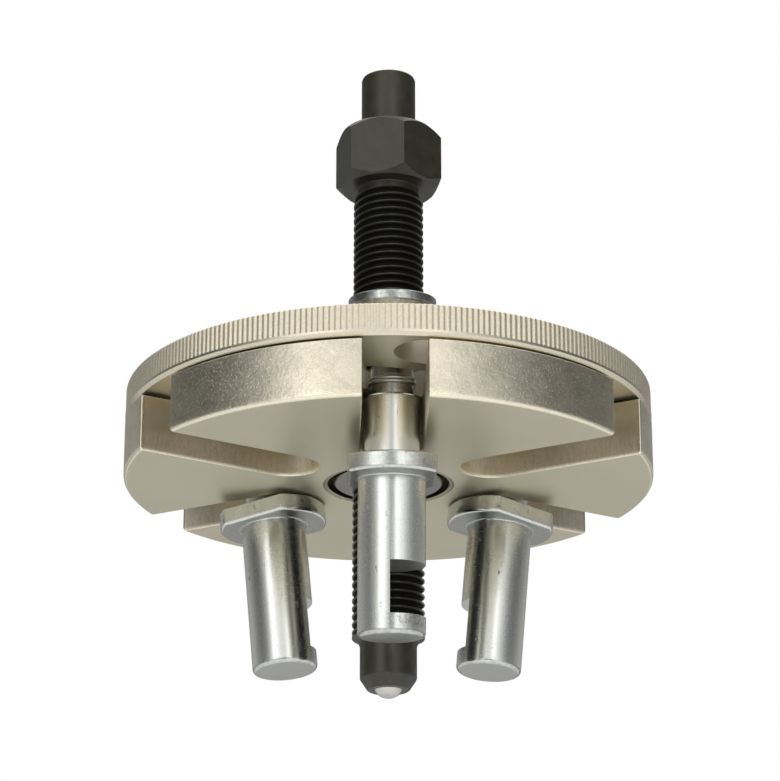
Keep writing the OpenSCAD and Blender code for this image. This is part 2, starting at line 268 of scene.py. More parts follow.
@dataclass(frozen=True)
class Surface:
    """The points of a piece, in millimetres, where they were when it was made upright at the origin.

    The level is 1 where the surface faces up or down and 0 where it stands upright. The colour is the
    finish's own, by which paint() measures its tints.
    """

    shader: Shader
    colour: Colour
    place: Wire
    x: Wire
    z: Wire
    radius: Wire
    bearing: Wire
    level: Wire

    @classmethod
    def of(cls, shader: Shader, stand: Matrix, colour: Colour) -> "Surface":
        """Reads the object coordinates and takes them back to where the piece was made.

        Args:
            shader: The material's shader.
            stand: Where the piece stands.
            colour: The finish's colour.

        Returns:
            The surface.
        """
        back, turn = {"vector_type": "TEXTURE"}, tuple(stand.to_euler("XYZ"))
        spot = shader.scaled(shader.node("ShaderNodeTexCoord", output="Object"), (1 / MM,) * 3)
        home = {"Vector": spot, "Location": tuple(stand.translation), "Rotation": turn}
        place = shader.node("ShaderNodeMapping", back, home)
        x, y, z = shader.axes(place)
        normal = shader.node("ShaderNodeTexCoord", output="Normal")
        upright = shader.node("ShaderNodeMapping", back, {"Vector": normal, "Rotation": turn})
        level = abs(shader.axes(upright)[2])
        return cls(shader, colour, place, x, z, (x * x + y * y) ** 0.5, y.angle_to(x), level)

    def noise(self, scale: float, detail: float = 2.0, harshness: float = 0.5) -> Wire:
        """Noise over the surface, alike in every direction."""
        return self.shader.noise(self.place, scale, detail, harshness)

    def streaks(self, about: float, out: float, up: float, detail: float, harshness: float = 0.5) -> Wire:
        """Noise with its own scale round the axis, out from it and along it."""
        spread = self.shader.joined(self.bearing * about, self.radius * out, self.z * up)
        return self.shader.noise(spread, 1.0, detail, harshness)

    def turning_marks(self, scale: float) -> Wire:
        """Fine rings round the axis, as a lathe tool leaves them."""
        rings = self.shader.joined(self.radius * scale, self.z * scale, self.bearing * 0.35)
        return self.shader.noise(rings, 1.0, 3.0, 0.6)

    def cast(self, shares: Colour) -> Colour:
        """The finish's colour with its red, green and blue each multiplied by a share."""
        return tuple(c * share for c, share in zip(self.colour, shares))

    def paint(self, base: object, *layers: tuple[Wire | float, object]) -> Wire:
        """A colour with others laid over it. A number stands for that share of the finish's colour.

        Args:
            base: The lowest colour.
            layers: How much each layer covers, and its colour, from below.

        Returns:
            The colour that shows.
        """
        for cover, colour in layers:
            base = self.shader.blend(cover, self._tint(base), self._tint(colour))
        return base

    def _tint(self, colour: object) -> object:
        """A number's tint of the finish's colour, or a colour as it is."""
        return self.cast((colour,) * 3) if isinstance(colour, float) else colour


@dataclass(frozen=True)
class Coat:
    """What a finish sets: colour, roughness, height in millimetres and how much of it is metal."""

    colour: Wire
    roughness: Wire
    height: Wire
    metallic: Wire | float = 1.0


@dataclass(frozen=True)
class Finish:
    """A metal finish. Each kind says how its coat changes over a surface."""

    slot: str
    colour: Colour
    roughness: float
    specular: float = 0.5
    specular_tint: Colour = (1.0, 1.0, 1.0)

    def coat(self, surface: Surface) -> Coat:
        """The coat at each point of a surface."""
        raise NotImplementedError

    def material(self, name: str, stand: Matrix) -> Material:
        """Makes the finish's material.

        Args:
            name: The material's name.
            stand: Where the piece that wears it stands, if it was made upright at the origin.

        Returns:
            The material.
        """
        made = bpy.data.materials.new(name)
        shader = Shader(made)
        coat = self.coat(Surface.of(shader, stand, self.colour))
        normal = shader.node("ShaderNodeBump", {}, {"Strength": 1.0, "Distance": MM, "Height": coat.height})
        metal = {
            "Base Color": coat.colour,
            "Roughness": coat.roughness,
            "Metallic": coat.metallic,
            "Specular IOR Level": self.specular,
            "Specular Tint": (*self.specular_tint, 1),
            "Normal": normal,
        }
        shader.show(shader.node("ShaderNodeBsdfPrincipled", {}, metal))
        made.diffuse_color = (*self.colour, 1)
        return made


@dataclass(frozen=True)
class SatinNickel(Finish):
    """Warm satin nickel on blasted steel: even faces, a mottled rim, milled walls, and worn edges with
    painted highlights and glints.
    """

    rim: float = 64.2
    knurl_foot: Span = (16.2, 16.4)
    pale_low_height: Span = (3.0, 7.0)
    worn_and_highlit_height: Span = (0.5, 2.6)
    knurled: bool = False
    olive: Colour = (0.88, 0.90, 0.83)
    brown: Colour = (0.92, 0.86, 0.80)
    grey: Colour = (1.18, 1.18, 1.24)

    def coat(self, surface: Surface) -> Coat:
        """Sorts faces, rim, walls and broken edges by direction and radius, gives each its grain, and
        paints highlights and glints on them.

        Args:
            surface: The plate's surface.

        Returns:
            The coat.
        """
        face = surface.level.step(0.75, 0.95)
        rim = surface.radius.step(self.rim - 0.3, self.rim) * (1 - face)
        wall = (1 - face) * (1 - rim)
        edge = surface.level.band(0.55, 0.85, 0.05)
        # near_rim and rim_edge pick out the rim's rounded edges for a painted reflection.
        near_rim = surface.radius.step(self.rim - 0.6, self.rim - 0.2)
        rim_edge = near_rim * surface.level.band(0.16, 0.96, 0.05)
        cloud = surface.noise(0.045, 3.0)
        blast = surface.noise(5.0)
        patch = surface.noise(0.16, 4.0, 0.6)
        fleck = surface.noise(1.9, 5.0, 0.7)
        dents = surface.noise(0.85, 3.0, 0.6)
        # Sparse bright spots painted on the rim and the lower walls: painted glints, with a little bump
        # under them.
        painted_glints = surface.noise(2.2).step(0.58, 0.68)
        drawn_out = surface.shader.scaled(surface.place, (1.3, 1.3, 0.3))
        scrape = surface.shader.noise(drawn_out, 1.0, 4.0, 0.65)
        low = 1 - (surface.z + 7 * (patch - 0.5)).step(*self.pale_low_height)
        low_edge = (1 - surface.z.step(*self.worn_and_highlit_height)) * fleck.step(0.40, 0.56)

        face_colour = surface.paint(0.86, (cloud.step(0.3, 0.7), 0.93), (0.5, surface.cast(self.olive)))
        rim_colour = surface.paint(
            1.0,
            (patch.step(0.4, 0.6), 0.84),
            (fleck.step(0.42, 0.62) * 0.6, 1.03),
            # Painted glints on the rim.
            (painted_glints * 0.7, 1.3),
        )
        wall_colour = surface.paint(
            surface.cast(self.brown),
            (patch.step(0.35, 0.65), 0.98),
            # The walls turn lighter and greyer towards the underside.
            (low * (0.35 + 0.65 * scrape.step(0.40, 0.60)), surface.cast(self.grey)),
            # Painted glints on the lower walls.
            (low * painted_glints, 1.3),
        )
        colour = surface.paint(
            face_colour,
            (rim, rim_colour),
            (wall, wall_colour),
            # The lower edges of walls and rim are painted brighter: a painted highlight, broken up by fleck
            # as wear.
            (low_edge * (1 - face) * 0.8, 1.25),
            # Rounded edges are painted brighter by their facing: a painted highlight, mottled by fleck as
            # wear.
            (edge * (0.55 + 0.45 * fleck), 1.3),
            # The rim's rounded edges are painted brighter: a painted reflection of the pale floor.
            (rim_edge * (0.7 + 0.3 * fleck), 1.34),
        )
        roughness = self.roughness + 0.06 * (blast - 0.5) + 0.05 * (cloud - 0.5)
        roughness = roughness - rim * 0.08 - wall * (0.02 + 0.12 * (scrape - 0.5)) - 0.1 * edge
        height = 0.0035 * blast * face + rim * (0.009 * fleck + 0.07 * dents + 0.02 * painted_glints)
        height = height + wall * (0.014 * scrape + 0.016 * fleck) + edge * 0.02 * fleck
        if self.knurled:
            knurl, mottle = rim * surface.z.step(*self.knurl_foot), fleck.step(0.4, 0.6)
            smooth, ridged = surface.paint(1.0, (mottle, 1.08)), surface.paint(1.08, (mottle, 1.2))
            colour = surface.paint(colour, (rim, smooth), (knurl, ridged))
            roughness = roughness + 0.16 * knurl
            height = height * (1 - 0.8 * rim)
        return Coat(colour, roughness, height)


@dataclass(frozen=True)
class TurnedMetal(Finish):
    """Bright metal with the fine rings of a lathe."""

    rings: float = 3.0
    depth: float = 0.006
    spread: float = 0.12

    def coat(self, surface: Surface) -> Coat:
        """Lays rings round the axis, with a little haze over them and a painted highlight on rounded edges.

        Args:
            surface: The turned piece's surface.

        Returns:
            The coat.
        """
        rings = surface.turning_marks(self.rings)
        haze = surface.noise(0.35, 3.0)
        edge = surface.level.band(0.5, 0.85, 0.05)
        # Rounded edges are painted brighter: a painted highlight.
        colour = surface.paint(0.9, (haze.step(0.3, 0.7), 1.06), (edge * 0.6, 1.15))
        roughness = self.roughness + self.spread * (rings - 0.5) + 0.08 * (haze - 0.5)
        return Coat(colour, roughness, self.depth * rings)


@dataclass(frozen=True)
class SatinZinc(Finish):
    """Zinc plate on a turned pin: streaks along it, small dark pits, a few scratches, painted edge
    highlights and painted shade.

    Each zone of the pin has the heights and the radii between which it fades in, from the collar's top and
    from the axis. Where it has three numbers, it lies between the first two, and the third is its softness.
    """

    barrel_top: Span = (-4.8, -4.3)
    foot_top: Span = (-41.3, -40.5)
    fillet_height: Band = (-4.9, -4.2, 0.1)
    fillet_radius: Band = (8.08, 8.4, 0.05)
    under_top: Span = (-1, 0.5)
    under_radius: Span = (8.2, 8.8)
    collar_top: Span = (0.2, 0.6)
    collar_radius: Span = (12.7, 13.1)
    shank_height: Band = (0.2, 15.2, 0.3)
    shank_radius: Span = (6.6, 6.8)
    neck_foot: Span = (15.3, 15.6)
    neck_radius: Span = (5.25, 5.4)
    head_foot: Span = (20.0, 21.0)
    head_radius: Span = (6.0, 6.5)
    lip_height: Band = (-40.0, -37.2, 0.7)
    lip_depth: Span = (-4, 1)

    def coat(self, surface: Surface) -> Coat:
        """Puts the marks of turning, plating and use on the pin, with painted shade and painted highlights
        by zone.

        Args:
            surface: The pin's surface.

        Returns:
            The coat.
        """
        shader, height, radius = surface.shader, surface.z, surface.radius
        edge = surface.level.band(0.4, 0.9, 0.08)
        flat = surface.level.step(0.9, 0.98)
        streak = surface.streaks(4.2, 0.6, 0.045, 3.0, 0.55)
        rings = surface.turning_marks(4.0)
        cloud = surface.noise(0.22, 4.0, 0.6)
        stain = surface.noise(0.9, 5.0, 0.7)
        under = flat * radius.step(*self.under_radius) * (1 - height.step(*self.under_top))
        foot = 1 - height.step(*self.foot_top)
        shank = height.band(*self.shank_height) * (1 - radius.step(*self.shank_radius))
        neck = height.step(*self.neck_foot) * (1 - radius.step(*self.neck_radius))
        head = height.step(*self.head_foot) * radius.step(*self.head_radius)
        collar = radius.step(*self.collar_radius) * (1 - height.step(*self.collar_top))
        fillet = radius.band(*self.fillet_radius) * height.band(*self.fillet_height)
        barrel = (1 - height.step(*self.barrel_top)) * (1 - flat)
        lip = height.band(*self.lip_height) * surface.x.step(*self.lip_depth) * stain.step(0.45, 0.57)
        speckle = barrel * surface.noise(3.0, 3.0, 0.7).step(0.56, 0.68)
        squat = {"Vector": shader.scaled(surface.place, (1, 1, 0.5)), "Scale": 0.34}
        spots = shader.node("ShaderNodeTexVoronoi", {}, squat)
        pits = (1 - spots.step(0.07, 0.20)) * stain.step(0.50, 0.60) * (1 - flat)
        score = surface.streaks(13, 1, 0.22, 1.0).step(0.70, 0.735) * stain.step(0.45, 0.55)

        colour = surface.paint(
            0.94,
            (streak.step(0.3, 0.7), 1.03),
            (cloud.step(0.45, 0.75) * 0.5, 0.9),
            # Faces that look up or down are painted darker: painted shade by facing.
            (flat, 0.80),
            # The collar's underside is painted dark: painted shade under the collar.
            (under, 0.45),
            # The foot is painted darker and its flat bottom darker still: painted shade, with dark stains
            # over it.
            (foot, surface.paint(0.84, (stain.step(0.42, 0.6), 0.48), (flat, 0.62))),
            (flat * stain.step(0.45, 0.62) * 0.3, 0.66),
            # The shank is painted lighter: painted light in place of its brighter reflection.
            (shank, 1.08),
            (collar, surface.paint(0.88, (stain.step(0.4, 0.65), 0.76))),
            # Rounded edges are painted brighter: a painted highlight.
            (edge * 0.5, 1.1),
            # The fillet under the collar is painted dark: painted shade in the crease.
            (fillet, 0.55),
            # The neck is painted dark: painted shade where it stands in the slot and the bush.
            (neck, 0.58),
            (head, surface.paint(0.72, (stain.step(0.4, 0.6), 0.5))),
            (lip * 0.7 + speckle * 0.45, 0.5),
            (pits * 0.8, 0.25),
            (score * 0.5, 0.4),
        )
        roughness = self.roughness + 0.06 * (streak - 0.5) + 0.04 * (rings - 0.5) + 0.10 * (cloud - 0.5)
        roughness = roughness + 0.2 * pits - 0.06 * edge + 0.06 * flat + 0.03 * shank
        relief = 0.0012 * rings + 0.003 * streak + 0.002 * stain * flat - 0.03 * pits - 0.01 * score
        return Coat(colour, roughness, relief)


@dataclass(frozen=True)
class BlackOxide(Finish):
    """Black oxide on steel, rubbed through a little on edges and on the crests of the thread, with painted
    shade on the thread.
    """

    crest: float = 8.62
    rod: Span = (9.0, 9.2)
    thread: Span = (-38.8, 76.8)
    bare: Colour = (0.045, 0.045, 0.040)

    def coat(self, surface: Surface) -> Coat:
        """Keeps the thread's flanks near black and free of oil, paints shade over the thread, and lightens
        what rubs.

        Args:
            surface: The spindle's surface.

        Returns:
            The coat.
        """
        edge = surface.level.band(0.35, 0.9, 0.08)
        cloud = surface.noise(0.3, 4.0, 0.6)
        grain = surface.noise(3.5, 3.0, 0.6)
        rings = surface.turning_marks(3.0)
        threaded = surface.z.band(*self.thread, 0.2) * (1 - surface.radius.step(*self.rod))
        rubbed = threaded * surface.radius.step(self.crest - 0.25, self.crest)
        flank = threaded * (1 - surface.radius.step(self.crest - 0.2, self.crest))
        wear = (rubbed * 0.8 + edge * (1 - threaded) * 0.55) * grain.step(0.3, 0.6)

        # The threaded part is painted darker: painted shade in the thread's grooves.
        base = surface.paint(0.8, (cloud.step(0.3, 0.72), 1.25), (threaded * 0.75, 0.35))
        roughness = self.roughness + 0.12 * (grain - 0.5) + 0.08 * (cloud - 0.5) - 0.1 * wear + 0.4 * flank
        height = 0.006 * rings * (1 - threaded) + 0.006 * grain
        return Coat(surface.paint(base, (wear, self.bare)), roughness, height, 0.85 * flank)


NICKEL = SatinNickel("satin_plate", (0.74, 0.685, 0.545), 0.42)
KNURLED_NICKEL = SatinNickel("satin_plate", (0.74, 0.685, 0.545), 0.42, knurled=True)
# The seat ring wears the plate's nickel at about half its brightness: a shaded copy, as painted shade.
SHADED_SEAT_NICKEL = TurnedMetal("seat", (0.36, 0.33, 0.255), 0.34)
BUSH_STEEL = TurnedMetal("bush_steel", (0.25, 0.245, 0.215), 0.30, depth=0.002)
SPRING_STEEL = TurnedMetal("spring_steel", (0.46, 0.44, 0.41), 0.3, rings=5.0)
BALL_STEEL = TurnedMetal("ball_steel", (0.62, 0.61, 0.57), 0.12, rings=6.0, depth=0.001, spread=0.05)
ZINC = SatinZinc("zinc_pin", (0.735, 0.75, 0.705), 0.265)
BLACK = BlackOxide("black_oxide", (0.021, 0.021, 0.014), 0.36, 0.62, specular_tint=(1.0, 0.97, 0.84))


# Pieces


def every(shape: BMesh) -> list[BMVert | BMEdge | BMFace]:
    """All points, edges and faces of a mesh."""
    return shape.verts[:] + shape.edges[:] + shape.faces[:]


def only(kind: type, items: Iterable[object]) -> list:
    """Those of the items that are of one kind."""
    return [item for item in items if isinstance(item, kind)]


def face_outwards(shape: BMesh) -> None:
    """Turns every face of a mesh outwards."""
    bmesh.ops.recalc_face_normals(shape, faces=shape.faces[:])


def close_up(shape: BMesh) -> None:
    """Joins what meets in a mesh and turns its faces outwards."""
    bmesh.ops.remove_doubles(shape, verts=shape.verts[:], dist=SAME)
    face_outwards(shape)


def cut(shape: BMesh, point: Sequence[float], facing: Sequence[float], keep_both: bool = False) -> None:
    """Cuts a mesh along a plane, and takes off what is in front of it unless both sides are kept."""
    bmesh.ops.bisect_plane(
        shape, geom=every(shape), dist=SAME, plane_co=point, plane_no=facing, clear_outer=not keep_both
    )


def fill_open(shape: BMesh, axis: int, place: float) -> None:
    """Fills what is open in the plane at a place along an axis, which is 0, 1 or 2."""
    rim = [edge for edge in shape.edges
           if len(edge.link_faces) < 2 and all(abs(vert.co[axis] - place) < CLOSE for vert in edge.verts)]
    bmesh.ops.contextual_create(shape, geom=rim)


def revolved(outline: Outline, steps: int, climb: float = 0.0) -> BMesh:
    """Turns a line once about the Z axis.

    Args:
        outline: The line's (radius, height) points.
        steps: The number of faces round the axis.
        climb: How far one turn rises.

    Returns:
        The mesh that the line leaves, with its ends joined unless it rises.
    """
    shape = bmesh.new()
    points = [shape.verts.new((radius, 0, height)) for radius, height in outline]
    chain = [shape.edges.new(pair) for pair in zip(points, points[1:])]
    bmesh.ops.spin(
        shape, geom=points + chain, axis=UP, dvec=(0, 0, climb / steps), angle=FULL_TURN, steps=steps,
        use_merge=climb == 0,
    )
    return shape


def add_object(name: str, shape: BMesh, material: Material) -> Object:
    """Makes an object of a mesh.

    Args:
        name: The object's name.
        shape: Its mesh, in metres, which is freed.
        material: Its material.

    Returns:
        The object.
    """
    made = bpy.data.meshes.new(name)
    shape.to_mesh(made)
    shape.free()
    made.materials.append(material)
    piece = bpy.data.objects.new(name, made)
    bpy.context.scene.collection.objects.link(piece)
    return piece


class Workpiece:
    """A mesh in the making, worked as a turner and a miller work metal. Lengths are in millimetres."""

    turned_steps: int = 144
    thread_steps: int = 72

    def __init__(self) -> None:
        """Starts with nothing in the machine."""
        self.mesh = bmesh.new()

    def turn(self, outline: Outline) -> None:
        """Adds a turned body.

        Args:
            outline: Its (radius, height) points, from the axis below to the axis above.
        """
        shape = revolved(outline, self.turned_steps)
        close_up(shape)
        self._add(shape)

    def _add(self, shape: BMesh) -> None:
        """Puts another mesh into this one, and frees it.

        Args:
            shape: The other mesh.
        """
        kept = bpy.data.meshes.new("shape")
        shape.to_mesh(kept)
        shape.free()
        self.mesh.from_mesh(kept)
        bpy.data.meshes.remove(kept)

    def loop(self, points: Outline, height: float) -> list[BMEdge]:
        """Draws a closed line at a height, from its (x, y) points."""
        spots = [self.mesh.verts.new((x, y, height)) for x, y in points]
        return [self.mesh.edges.new(pair) for pair in zip(spots, spots[1:] + spots[:1])]

    def raise_wall(self, loop: list[BMEdge], rise: float, scale: float = 1.0) -> list[BMEdge]:
        """Makes a wall up from a closed line.

        Args:
            loop: The line's edges.
            rise: The wall's height.
            scale: The size of the wall's upper line, as a share of the lower one about the axis.

        Returns:
            The edges of its upper line.
        """
        made = bmesh.ops.extrude_edge_only(self.mesh, edges=loop)["geom"]
        top = only(BMVert, made)
        bmesh.ops.scale(self.mesh, vec=(scale, scale, 1), verts=top)
        bmesh.ops.translate(self.mesh, vec=(0, 0, rise), verts=top)
        return [edge for edge in only(BMEdge, made) if set(top).issuperset(edge.verts)]

    def loft(self, sections: Sequence[tuple[Outline, float]]) -> list[list[BMEdge]]:
        """Adds a closed body through outlines of as many points each, at rising heights.

        Args:
            sections: The outlines, as (x, y) points, each with its height.

        Returns:
            The edges of each outline.
        """
        loops = [self.loop(points, height) for points, height in sections]
        for low, high in zip(loops, loops[1:]):
            bmesh.ops.bridge_loops(self.mesh, edges=low + high)
        for end in (loops[0], loops[-1]):
            bmesh.ops.contextual_create(self.mesh, geom=end)
        face_outwards(self.mesh)
        return loops

    def cap(self, *loops: list[BMEdge]) -> None:
        """Fills the flat face between closed lines."""
        edges = [edge for loop in loops for edge in loop]
        bmesh.ops.triangle_fill(self.mesh, use_beauty=True, edges=edges, normal=UP)

    def mill_flat(self, distance: float, angle: float) -> None:
        """Cuts a flat parallel to Z.

        Args:
            distance: The flat's distance from the axis.
            angle: The direction it faces, in degrees.
        """
        facing = Vector((math.cos(math.radians(angle)), math.sin(math.radians(angle)), 0))
        cut(self.mesh, facing * distance, facing)
        bmesh.ops.contextual_create(self.mesh, geom=[edge for edge in self.mesh.edges if edge.is_boundary])

    def mill_opening(self, depth: float, low: float, high: float) -> None:
        """Cuts a slot across the piece from its +X side.

        Args:
            depth: The X of the slot's wall.
            low: The height of the slot's floor.
            high: The height of the slot's ceiling.
        """
        for height in (low, high):
            cut(self.mesh, (0, 0, height), UP, keep_both=True)
        cut(self.mesh, (depth, 0, 0), (1, 0, 0), keep_both=True)
        middles = [(face, face.calc_center_median()) for face in self.mesh.faces]
        taken = [face for face, middle in middles if low < middle.z < high and middle.x > depth]
        bmesh.ops.delete(self.mesh, geom=taken, context="FACES")
        for height in (low, high):
            ends = [vert for vert in self.mesh.verts if vert.is_boundary
                    and abs(vert.co.z - height) < CLOSE and abs(vert.co.x - depth) < CLOSE]
            bmesh.ops.contextual_create(self.mesh, geom=ends)
        for axis, place in ((2, low), (2, high), (0, depth)):
            fill_open(self.mesh, axis, place)
        face_outwards(self.mesh)

    def break_edges(
        self, width: float, segments: int = 2, among: Callable[[BMEdge], bool] = lambda edge: True
    ) -> None:
        """Rounds the edges that are sharper than BROKEN_ANGLE.

        Args:
            width: The width of each rounded edge.
            segments: The number of faces across it.
            among: Tells whether an edge is one of those to round.
        """
        limit = math.radians(BROKEN_ANGLE)
        sharp = [e for e in self.mesh.edges if e.is_manifold and e.calc_face_angle(0) > limit and among(e)]
        bmesh.ops.bevel(
            self.mesh, geom=sharp, offset=width, segments=segments, profile=0.5, affect="EDGES",
            material=-1, clamp_overlap=True, loop_slide=True,
        )

    def thread(self, outline: Outline, pitch: float, low: float, high: float) -> None:
        """Adds a threaded rod with a right-hand thread.

        Args:
            outline: The (radius, height) points of one turn of the thread, one pitch high.
            pitch: The height of one turn.
            low: The height of the rod's lower end.
            high: The height of its upper end.
        """
        start = low - 1.5 * pitch
        shape = revolved([(radius, start + height) for radius, height in outline], self.thread_steps, pitch)
        turns = 1
        while turns * pitch < high - low + 3 * pitch:
            copy = bmesh.ops.duplicate(shape, geom=every(shape))
            bmesh.ops.translate(shape, vec=(0, 0, turns * pitch), verts=only(BMVert, copy["geom"]))
            turns *= 2
        bmesh.ops.remove_doubles(shape, verts=shape.verts[:], dist=CLOSE)
        for height, way in ((low, -1), (high, 1)):
            cut(shape, (0, 0, height), (0, 0, way))
            fill_open(shape, 2, height)
        face_outwards(shape)
        self._add(shape)

    def finish(self, name: str, body: str, finish: Finish, replaces: str, stand: Matrix = UPRIGHT) -> None:
        """Makes the object that rides on a body.

        Args:
            name: The object's name.
            body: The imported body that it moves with.
            finish: Its finish.
            replaces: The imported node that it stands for.
            stand: Where it stands, as it was made upright at the origin.
        """
        bmesh.ops.transform(self.mesh, matrix=Matrix.Scale(MM, 4) @ stand, verts=self.mesh.verts[:])
        piece = add_object(name, self.mesh, finish.material(name, stand))
        faces = piece.data.polygons
        faces.foreach_set("use_smooth", [True] * len(faces))
        piece.data.set_sharp_from_angle(angle=math.radians(SHARP_ANGLE))
        piece.modifiers.new("weighted_normals", "WEIGHTED_NORMAL").keep_sharp = True
        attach(piece, body)
        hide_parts(replaces)
        LOG.info("%s: %d faces", name, len(faces))


def dress(node: str, finish: Finish, stand: Matrix = UPRIGHT) -> None:
    """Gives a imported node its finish.

    Args:
        node: The node's name.
        finish: Its finish.
        stand: Where it stands, as if it was made upright at the origin.
    """
    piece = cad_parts[node]
    piece.data.materials.clear()
    piece.data.materials.append(finish.material(node + "_finish", stand))
    LOG.info("%s: dressed as %s", node, finish.slot)


def arc(centre: Point, radius: float, start: float, end: float, steps: int) -> list[Point]:
    """Points of an arc in an outline.

    Args:
        centre: The arc's middle.
        radius: The arc's radius.
        start: The angle of its first point, in degrees.
        end: The angle of its last point, in degrees.
        steps: The number of steps between them.

    Returns:
        The points.
    """
    angles = [math.radians(start + (end - start) * k / steps) for k in range(steps + 1)]
    return [(centre[0] + radius * math.cos(a), centre[1] + radius * math.sin(a)) for a in angles]


def circle(radius: float, steps: int) -> list[Point]:
    """Points of a circle about the axis."""
    return arc((0, 0), radius, 0, 360 - 360 / steps, steps - 1)


def rounding(steps: int) -> list[Point]:
    """How far a rounded edge is cut back and has risen at each step up it, as shares of its radius."""
    angles = [math.radians(90 * k / steps) for k in range(steps + 1)]
    return [(1 - math.sin(a), 1 - math.cos(a)) for a in angles]


def beside(corner: Point, *offsets: Point) -> list[Point]:
    """Points near a corner of an outline, by their distances from it."""
    return [(corner[0] + x, corner[1] + y) for x, y in offsets]


@dataclass
class GuidePlate:
    """The slotted lower plate and the seat ring pressed into it.

    The edges are the widths of the rounded edges at the rim, the slots and the bore.
    """

    radius: float = 65.0
    thickness: float = 14.0
    slots: int = 6
    slot_half: float = 7.5
    slot_end: float = 28.5
    bore: float = 15.95
    low_edges: Band = (1.0, 0.35, 0.22)
    high_edges: Band = (0.3, 0.3, 0.0)
    edge_steps: int = 5
    corner: float = 0.35
    slot_steps: int = 14
    rim_steps: int = 28
    seat_inner: float = 14.95
    seat_bore: float = 11.93
    seat_face: float = 4.6
    seat_low: float = 0.04
    seat_edge: float = 0.3
    seat_joint: Point = (0.01, 0.35)

    def build(self) -> None:
        """Builds one sector between two slots, repeats it round the axis and turns the seat ring."""
        work = Workpiece()
        self._sector(work)
        turn = FULL_TURN / self.slots
        bmesh.ops.spin(
            work.mesh, geom=every(work.mesh), axis=UP, angle=FULL_TURN - turn, steps=self.slots - 1,
            use_duplicate=True,
        )
        bmesh.ops.rotate(work.mesh, matrix=Matrix.Rotation(turn / 2, 3, "Z"), verts=work.mesh.verts[:])
        close_up(work.mesh)
        work.finish("slotted_guide_plate", "plate_unit", NICKEL, "guide_plate")
        self._seat().finish("turned_seat_ring", "plate_unit", SHADED_SEAT_NICKEL, "seat_ring")

    def _side(self, rim: float, slot: float) -> list[Point]:
        """One side of a slot along X, from the middle of its round end out to the rim."""
        half = self.slot_half + slot
        return arc((self.slot_end, 0), half, 180, 90, self.slot_steps) + [
            (math.sqrt((self.radius - rim) ** 2 - half**2), half)
        ]

    def _plan(self, rim: float, slot: float, bore: float) -> list[Point]:
        """The metal between two slots, seen from above.

        Args:
            rim: How far its rim is cut back.
            slot: How far its slots are cut back.
            bore: How far its bore is cut back.

        Returns:
            The points round it.
        """
        pitch = 360 / self.slots
        side = self._side(rim, slot)
        edge = math.degrees(math.atan2(side[-1][1], side[-1][0]))
        turn = Matrix.Rotation(math.radians(pitch), 2)
        far = [tuple(turn @ Vector((x, -y))) for x, y in reversed(side)]
        outer = arc((0, 0), self.radius - rim, edge, pitch - edge, self.rim_steps)[1:-1]
        return side + outer + far + arc((0, 0), self.bore + bore, pitch, 0, self.slot_steps)

    def _sector(self, work: Workpiece) -> None:
        """Adds the metal from the middle of one slot to the middle of the next, with rounded edges.

        Args:
            work: The plate in the making.
        """
        low, high, steps = self.low_edges, self.high_edges, rounding(self.edge_steps)
        sections = [(self._plan(*(width * inset for width in low)), low[0] * rise) for inset, rise in steps]
        sections += [(self._plan(*(width * inset for width in high)), self.thickness - high[0] * rise)
                     for inset, rise in reversed(steps)]
        loops = work.loft(sections)
        first = len(self._side(0, 0)) - 1
        places = (first, first + self.rim_steps)
        corners = {loop[place].verts[0] for loop in loops for place in places}
        work.break_edges(self.corner, segments=3, among=lambda edge: corners.issuperset(edge.verts))
        between = [face for face in work.mesh.faces if all(self._is_between(vert) for vert in face.verts)]
        bmesh.ops.delete(work.mesh, geom=between, context="FACES")

    def _is_between(self, vert: BMVert) -> bool:
        """Tells whether a point lies where two sectors meet."""
        turn, (x, y) = FULL_TURN / self.slots, vert.co.xy
        return min(abs(y), abs(x * math.sin(turn) - y * math.cos(turn))) < CLOSE

    def _seat(self) -> Workpiece:
        """Turns the seat ring round the bush's flange.

        Returns:
            The ring.
        """
        work = Workpiece()
        gap, joint = self.seat_joint
        inner, outer, edge = self.seat_inner, self.bore - gap, self.seat_edge
        work.turn([
            (inner, self.seat_face), (inner, edge), (inner + edge, self.seat_low),
            (self.bore - edge, self.seat_low), (outer, joint), (outer, self.thickness),
            (self.seat_bore, self.thickness), (self.seat_bore, self.seat_face), (inner, self.seat_face),
        ])
        return work


